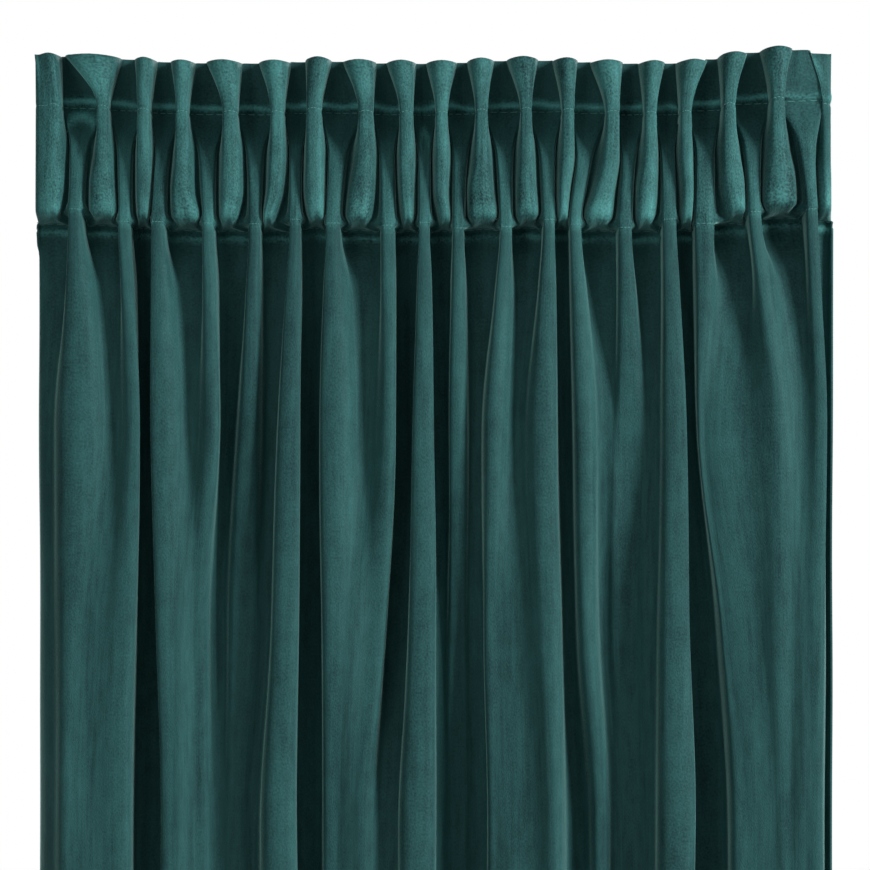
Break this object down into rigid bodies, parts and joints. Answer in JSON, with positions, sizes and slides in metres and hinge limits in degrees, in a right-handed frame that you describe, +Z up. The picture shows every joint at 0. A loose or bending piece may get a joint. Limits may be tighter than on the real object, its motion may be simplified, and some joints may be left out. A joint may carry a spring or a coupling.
{
  "type": "gathered velvet drape without tieback",
  "caption": "Long velvet drape drawn up into a frilled, two-row gathered heading, hanging in uneven vertical folds from its top edge.",
  "frame": {"origin": "middle of the drape's top edge, where whatever carries it would hold it", "axes": "+Z up along the drape's length, +X to the right as seen from the velvet face, -Y out of the velvet face towards the room"},
  "size_m": [0.6028, 0.0486, 2.449],
  "materials": {
    "velvet": "deep teal cut velvet, vertical nap with a soft sheen",
    "tape": "plain woven off-white tape"
  },
  "bodies": {
    "root": {"drape_panel": "velvet", "heading_tape": "tape"}
  },
  "joints": []
}
